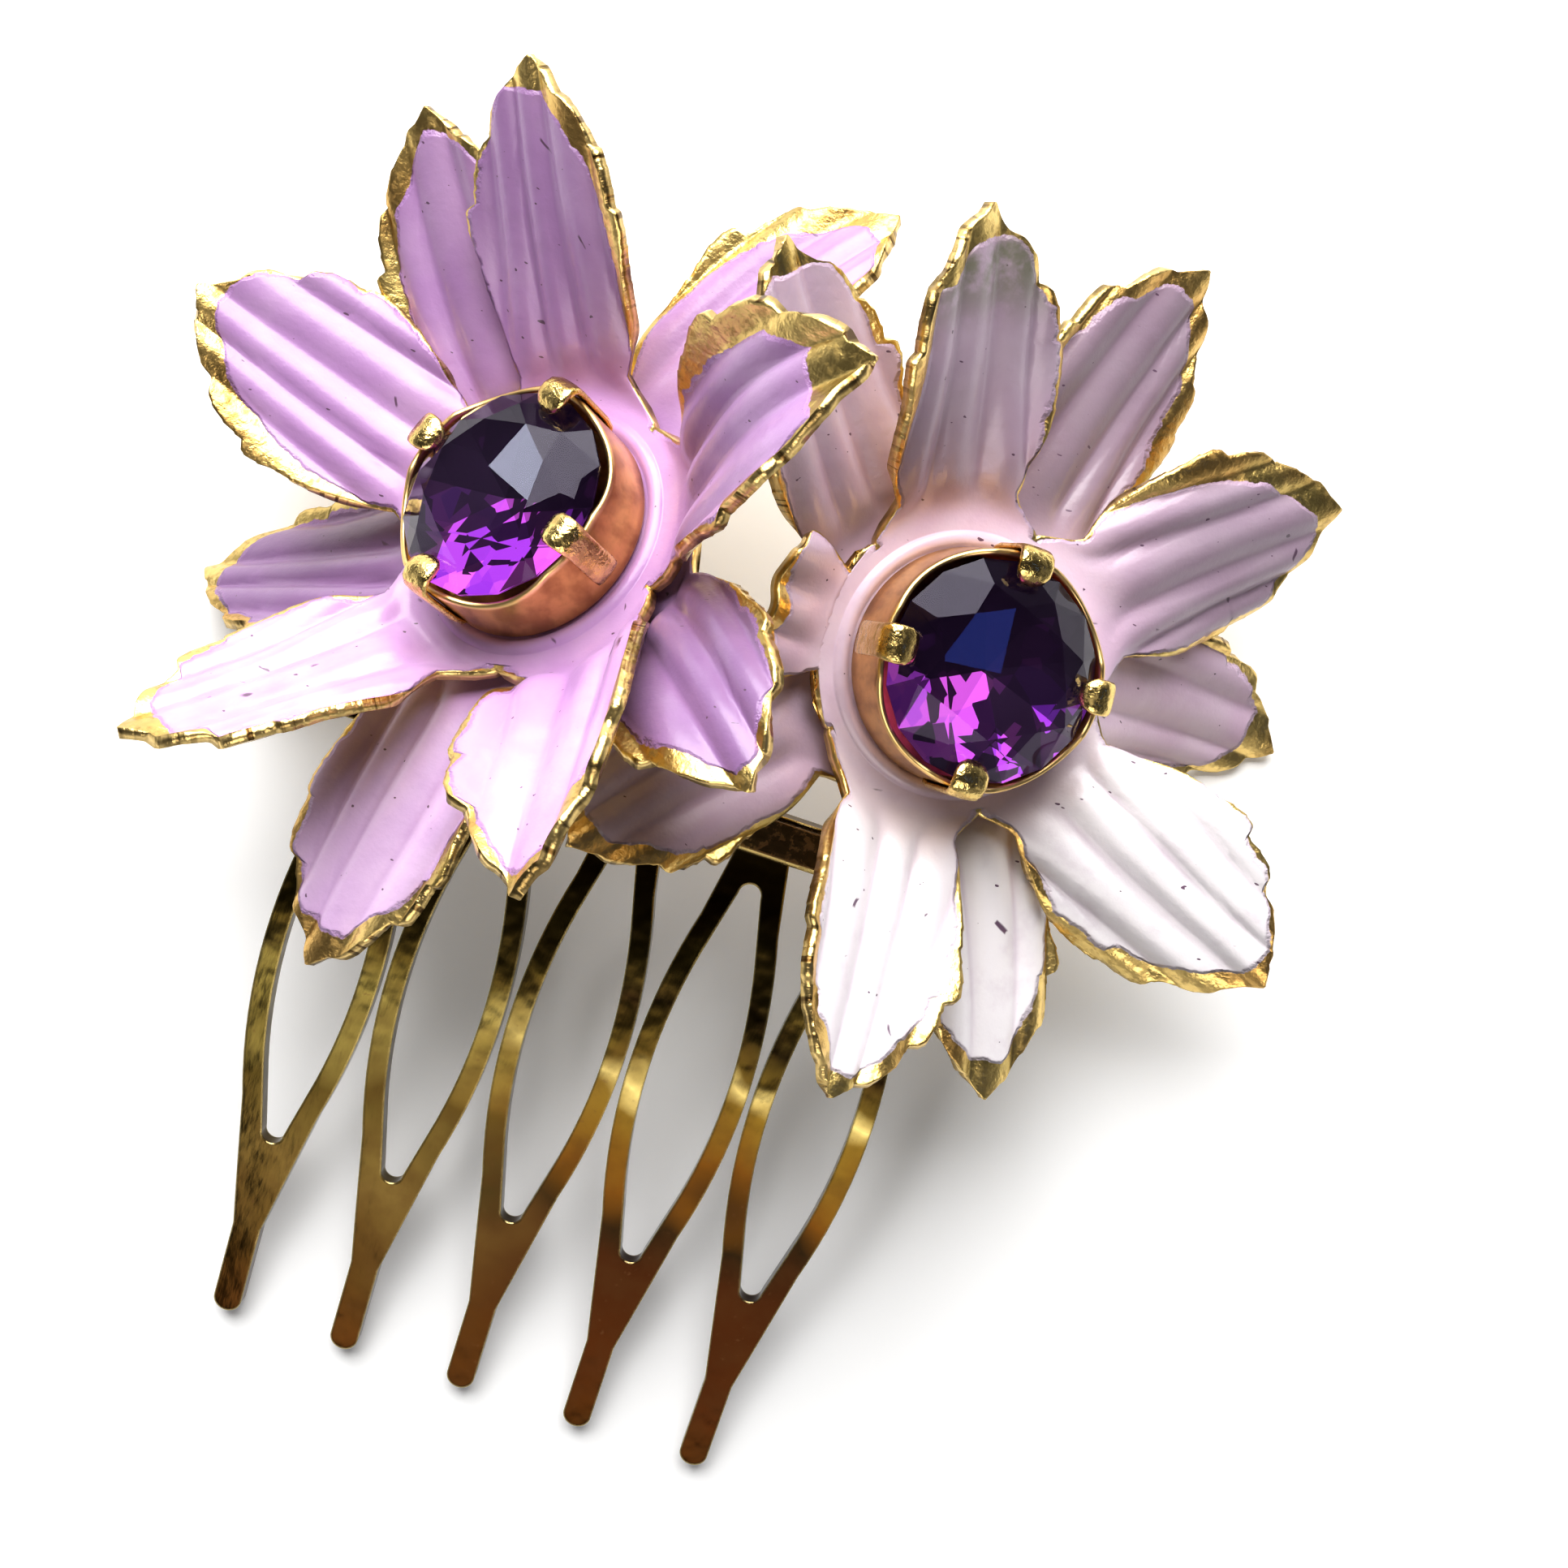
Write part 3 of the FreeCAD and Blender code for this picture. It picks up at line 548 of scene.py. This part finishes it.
# each petal: azimuth, lift, curl, curl at the tip, sweep, twist (degrees), cup, length and width factors
PETALS = {
    "left_front": [(164, 30, 7, 7, -2, 1, 0, 1.02, 1.12), (100, 46, 0, -7, -5, -9, 0.05, 1.06, 1.02),
                   (18, 50, -2, -54, 4, 9, 0.3, 1.12, 1.02), (236, 32, -3, 11, 0, 17, 0.1, 1.02, 1.02),
                   (316, 43, -28, -13, -37, 10, 0.35, 1.08, 1.04)],
    "left_back": [(129, 35, 0, -1, -22, -4, 0.1, 1.08, 1), (69, 7, -14, -10, -20, -3, 0.15, 1.04, 1),
                  (196, -3, -2, -4, -8, 20, 0, 1.04, 1), (257, -1, -10, 0, 0, -5, 0.05, 1.08, 1.02),
                  (337, 50, -54, -9, -19, -5, 0.05, 1, 0.96)],
    "right_front": [(113, 31, -18, -7, -4, 22, 0.15, 0.98, 1.02), (42, 0, 0, 0, -6, 20, -0.15, 0.98, 1.08),
                    (330, 22, -3, -1, 6, 28, -0.15, 0.98, 1.14), (265, 33, -10, -9, -1, -14, 0.2, 1, 1.02),
                    (180, 24, 0, 0, 0, 0, 0, 1, 1)],
    "right_back": [(78, 0, -1, 1, -10, 14, 0, 1.08, 0.98), (10, -28, 11, 22, -14, 22, -0.05, 0.98, 0.92),
                   (299, 9, -2, -5, -17, -13, 0, 0.96, 0.9), (216, 11, 0, 0, 14, 1, 0, 0.94, 0.98),
                   (142, 25, -10, -10, -15, 17, 0.05, 1.02, 0.94)],
}
# bare rim per petal in millimetres: clockwise side, counter-clockwise side, tip
BORDERS = {
    "left_front": [(0.15, 1.2, 1.0), (0.8, 0.1, 1.3), (0.3, 1.2, 2.2), (0.35, 0.15, 1.6), (0.3, 0.9, 1.0)],
    "left_back": [(0.3, 0.8, 1.0), (0.3, 1.2, 1.2), (0.7, 0.5, 1.4), (0.3, 0.7, 1.6), (0.8, 0.3, 0.8)],
    "right_front": [(0.25, 0.8, 1.5), (0.5, 1.4, 1.4), (1.1, 0.1, 0.9), (0.5, 0.6, 1.0), (0.5, 0.5, 0.4)],
    "right_back": [(0.9, 0.7, 1.6), (0.9, 0.5, 2.0), (0.5, 0.9, 1.8), (0.3, 0.9, 1.6), (0.3, 0.3, 1.4)],
}
# painted light and shade on each petal's enamel: above zero it is paled towards near-white for light, below
# zero darkened towards the dusky colour for shade
PETAL_PAINTED_LIGHT = {
    "left_front": [-0.28, -0.3, -0.3, -0.12, -0.12],
    "left_back": [-0.38, -0.4, -0.78, 0.2, -0.68],
    "right_front": [-0.4, -0.46, 1.0, 0.9, -0.15],
    "right_back": [-0.7, -0.05, 1.0, -0.18, -0.3],
}
# each flower: hub's middle, direction and amount of its lean, turn of its stone
FLOWERS = {
    "left": (Vector((-9.4, 50.0, 14.7)), 158, 32, 70),
    "right": (Vector((14.4, 50.3, 14.1)), -3, 19, 3),
}
places = {}
for side, (centre, direction, lean, _) in FLOWERS.items():
    d = math.radians(direction)
    place = (Matrix.Translation((centre + Vector(SHIFT)) * MM)
             @ Matrix.Rotation(math.radians(lean), 4, Vector((-math.sin(d), math.cos(d), 0))))
    places[side] = place
    for layer, level in (("front", 0.0), ("back", -1.6)):
        key = side + "_" + layer
        node = key + "_petals"
        piece = build_layer(node + "_enamelled", PETALS[key], BORDERS[key], PETAL_PAINTED_LIGHT[key], enamel[side], place,
                            {"left": 100, "right": 300}[side] + {"front": 0, "back": 77}[layer],
                            4 if key == "right_front" else None, level, 0 if key == "right_front" else None)
        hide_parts(node)


# ------------------------------------------------------------------ stones
STONE_RADIUS, CUP_RADIUS = 6.0, 6.5
SEAT = 0.45  # height of the cup's base above the hub's middle


def polar(radius, degrees, z):
    a = math.radians(degrees)
    return (radius * math.cos(a), radius * math.sin(a), z)


def stone_facets(back_only, grow=0.0):
    """Corner lists of the stone's facets, in millimetres above the cup's base."""
    radius, table, low, crown, depth = STONE_RADIUS, 3.6, 4.2, 1.7, 2.7
    high, rise, fall = low + 0.15, crown / (radius - table), depth / radius
    c8 = math.cos(math.radians(22.5))
    faces = []
    if not back_only:
        faces.append([polar(table, 45 * k, high + crown) for k in range(8)])
    culet = (0, 0, low - depth - grow)
    for k in range(8):
        a, mid, b = 45 * k, 45 * k + 22.5, 45 * k + 45
        star = polar(4.7, mid, high + rise * (radius - 4.7 * c8))
        star_last = polar(4.7, mid - 45, star[2])
        back = polar(3.0, mid, low - fall * (radius - 3.0 * c8) - grow)
        back_last = polar(3.0, mid - 45, back[2])
        top_a, top_b = polar(table, a, high + crown), polar(table, b, high + crown)
        faces.append([culet, back_last, polar(radius, a, low - grow), back])
        if not back_only:
            faces.append([top_a, star, top_b])
            faces.append([top_a, star_last, polar(radius, a, high), star])
        for edge in (a, b):
            faces.append([back, polar(radius, edge, low - grow), polar(radius, mid, low - grow)])
            if not back_only:
                faces.append([star, polar(radius, edge, high), polar(radius, mid, high)])
                faces.append([polar(radius, edge, low), polar(radius, mid, low), polar(radius, mid, high),
                              polar(radius, edge, high)])
    return faces


def facet_mesh(name, faces, material, place):
    """Flat-shaded mesh of the facets."""
    bm = bmesh.new()
    for corners in faces:
        bm.faces.new([bm.verts.new(c) for c in corners])
    bmesh.ops.remove_doubles(bm, verts=bm.verts, dist=0.001)
    bmesh.ops.recalc_face_normals(bm, faces=bm.faces)
    bmesh.ops.scale(bm, vec=(MM, MM, MM), verts=bm.verts)
    data = bpy.data.meshes.new(name)
    bm.to_mesh(data)
    bm.free()
    data.materials.append(material)
    data.transform(place)
    obj = add_object(name, data)
    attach(obj, "root")
    return obj


def cup_mesh(name, place):
    """Turned cup with a dipped rim and four claws with rounded ends."""
    verts, quads, rim, slots = [], [], [], []

    def grid(points, closed_rows, rims, slot):
        base, (rows, cols) = len(verts), points.shape[:2]
        verts.extend(points.reshape(-1, 3).tolist())
        rim.extend(rims.ravel().tolist())
        for i in range(rows if closed_rows else rows - 1):
            for j in range(cols):
                a, b = i * cols, (i + 1) % rows * cols
                k = (j + 1) % cols
                quads.append((base + a + j, base + a + k, base + b + k, base + b + j))
                slots.append(slot)

    wall = CUP_RADIUS
    profile = np.array([(1.05, 0.0), (6.3, 0.0), (6.42, 0.08), (wall, 0.3), (wall, 1.5), (wall, 3.0),
                        (wall, 4.0), (wall, 4.3), (6.46, 4.46), (6.36, 4.5), (6.22, 4.48), (6.15, 4.35),
                        (6.15, 3.0), (6.15, 0.5), (6.0, 0.4), (1.05, 0.4)])
    turn = np.radians(np.arange(0, 360, 2.5))
    offset = (turn + math.pi / 4) % (math.pi / 2) - math.pi / 4
    from_dip = wall * np.sin(np.abs(offset) - math.pi / 4)
    dip = np.maximum(0, 0.6 - 0.7 * (from_dip / 3.2) ** 2)
    r, z = profile[:, 0][:, None], profile[:, 1][:, None]
    z = z - dip[None] * smooth((z - 2.6) / 1.7)
    points = np.stack([r * np.cos(turn), r * np.sin(turn), z + 0 * turn], -1)
    grid(points, True, np.broadcast_to(smooth((profile[:, 1][:, None] - 4.0) / 0.4), points.shape[:2]), 0)
    # a claw's line from the wall to over the stone, with its half width and thickness
    path = np.array([(6.4, 0.9), (6.6, 1.3), (6.72, 2.0), (6.72, 3.5), (6.72, 4.6), (6.66, 5.05), (6.42, 5.38),
                     (6.0, 5.55), (5.5, 5.52), (5.1, 5.32), (4.88, 5.12), (4.82, 5.04)])
    half = np.array([0.7, 0.85, 0.9, 0.88, 0.88, 0.92, 0.97, 1.0, 0.98, 0.78, 0.42, 0.06])
    thick = np.array([0.1, 0.18, 0.2, 0.2, 0.21, 0.24, 0.28, 0.3, 0.3, 0.26, 0.16, 0.03])
    step = np.gradient(path, axis=0)
    step /= np.linalg.norm(step, axis=1)[:, None]
    ring = np.linspace(0, 2 * math.pi, 20, endpoint=False)
    u = np.sign(np.cos(ring)) * np.abs(np.cos(ring)) ** 0.55
    v = np.sign(np.sin(ring)) * np.abs(np.sin(ring)) ** 0.75
    for quarter in range(4):
        wobble = rng.uniform(-0.05, 0.05, 2)
        out = thick[:, None] * v
        claw = np.stack([path[:, :1] + step[:, 1:] * out + 0 * u, half[:, None] * u * (1 + wobble[0]),
                         path[:, 1:] - step[:, :1] * out + 0 * u], -1)
        c, d = math.cos(quarter * math.pi / 2 + wobble[1]), math.sin(quarter * math.pi / 2 + wobble[1])
        grid(claw @ np.array([[c, d, 0], [-d, c, 0], [0, 0, 1]]), False, np.zeros(claw.shape[:2]), 1)
    data = bpy.data.meshes.new(name)
    data.from_pydata((np.array(verts) * MM).tolist(), [], quads)
    rims = data.attributes.new("rim", "FLOAT", "POINT")
    rims.data.foreach_set("value", np.array(rim, dtype=np.float32))
    data.materials.append(cup_metal)
    data.materials.append(prong_gold)
    data.polygons.foreach_set("material_index", slots)
    data.polygons.foreach_set("use_smooth", [True] * len(data.polygons))
    data.transform(place)
    obj = add_object(name, data)
    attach(obj, "root")
    return obj


for side, (*_, turn) in FLOWERS.items():
    place = (places[side] @ Matrix.Translation((0, 0, SEAT * MM))
             @ Matrix.Rotation(math.radians(turn), 4, "Z"))
    gem = facet_mesh(side + "_stone_cut", stone_facets(False), glass, place)
    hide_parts(side + "_stone")
    backing = facet_mesh(side + "_stone_foil", stone_facets(True, -0.04), glowing_foil, place)
    cup = cup_mesh(side + "_cup_turned", place)
    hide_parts(side + "_stone_cup")
    # painted light: the foil facets on the side nearer the comb's teeth glow brightly, the others stay near
    # black
    painted_glow = backing.data.attributes.new("painted_facet_glow", "FLOAT", "FACE")
    hue = backing.data.attributes.new("hue", "FLOAT", "FACE")
    values, hues = [], []
    middle = place @ Vector((0, 0, 3.0 * MM))
    for face in backing.data.polygons:
        away = (face.center - middle) / (STONE_RADIUS * MM)
        low = -0.95 * away.y + (0.25 if side == "left" else 0.05) * away.x
        values.append(float(np.clip((low - 0.1) * 3.2, 0, 1)) * (1.0 if rng.random() < 0.8 else 0.1)
                      + (0.015 if rng.random() < 0.3 else 0.0))
        hues.append(rng.random())
    painted_glow.data.foreach_set("value", values)
    hue.data.foreach_set("value", hues)

# ------------------------------------------------------------------ CAD nodes that stay
for node, material in {"comb": brass_comb, "mount_strap": painted_shade_strap_brass, "solder_seam": brass_small,
                       "rivets": brass_small, "spacer_washers": brass_back}.items():
    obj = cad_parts[node]
    obj.data.materials.clear()
    obj.data.materials.append(material)

# ------------------------------------------------------------------ floor, light, camera
floor_mesh = bpy.data.meshes.new("floor")
floor_mesh.from_pydata([(-3, -3, 0), (3, -3, 0), (3, 3, 0), (-3, 3, 0)], [], [(0, 1, 2, 3)])
floor = add_object("floor", floor_mesh)
n = Nodes("floor_paper")
floor_mesh.materials.append(n.finish(n.shader((0.88, 0.88, 0.885), 0.8, Emission_Color=(1, 1, 1, 1),
                                              Emission_Strength=0.2)))

world = bpy.data.worlds.new("studio")
bpy.context.scene.world = world
world.use_nodes = True
tree = world.node_tree
tree.nodes.clear()
coord = tree.nodes.new("ShaderNodeTexCoord")
split = tree.nodes.new("ShaderNodeSeparateXYZ")
ramp = tree.nodes.new("ShaderNodeValToRGB")
back = tree.nodes.new("ShaderNodeBackground")
out = tree.nodes.new("ShaderNodeOutputWorld")
tree.links.new(coord.outputs["Generated"], split.inputs[0])
tree.links.new(split.outputs[2], ramp.inputs[0])
tree.links.new(ramp.outputs[0], back.inputs[0])
tree.links.new(back.outputs[0], out.inputs[0])
ramp.color_ramp.elements[0].position = 0.0
ramp.color_ramp.elements[0].color = (0.75, 0.75, 0.76, 1)
ramp.color_ramp.elements[1].position = 1.0
ramp.color_ramp.elements[1].color = (0.05, 0.045, 0.04, 1)
for position, colour in ((0.3, (0.45, 0.45, 0.46, 1)), (0.55, (0.10, 0.095, 0.09, 1))):
    stop = ramp.color_ramp.elements.new(position)
    stop.color = colour
back.inputs[1].default_value = 0.5


def lamp(name, location, size, power, colour):
    """Rectangular lamp that faces the origin."""
    data = bpy.data.lights.new(name, "AREA")
    data.shape = "RECTANGLE"
    data.size, data.size_y = size
    data.energy = power
    data.color = colour
    obj = add_object(name, data)
    obj.location = location
    obj.rotation_mode = "QUATERNION"
    obj.rotation_quaternion = (-Vector(location)).to_track_quat("-Z", "Y")
    return obj


lamp("window", (-0.14, 0.42, 0.40), (0.6, 0.6), 9.4, (1.0, 0.995, 0.985))
room = lamp("room", (0.1, -0.4, 0.45), (0.5, 0.3), 1.6, (1.0, 0.96, 0.92))
# small panes that the two stones' tables mirror
pane_left = lamp("pane_left", (-0.362, 0.211 + SHIFT[1] * MM, 0.128), (0.016, 0.018), 0.0150,
                 (0.86, 0.93, 1.0))
pane_right = lamp("pane_right", (0.275, 0.078 + SHIFT[1] * MM, 0.322), (0.018, 0.022), 0.0075,
                  (0.10, 0.24, 1.0))
for mirrored in (room, pane_left, pane_right):
    mirrored.visible_diffuse = False

camera = bpy.data.cameras.new("camera")
camera.sensor_width = 36.0
camera.lens = 48.4
camera.clip_start, camera.clip_end = 0.005, 10.0
eye = add_object("camera", camera)
eye.location = ((7.35 + SHIFT[0]) * MM, (41.1 + SHIFT[1]) * MM, 0.130 + SHIFT[2] * MM)
eye.rotation_euler = (0, 0, math.radians(18.4))
bpy.context.scene.camera = eye
bpy.context.scene.view_settings.view_transform = "Standard"
bpy.context.scene.view_settings.gamma = 0.85
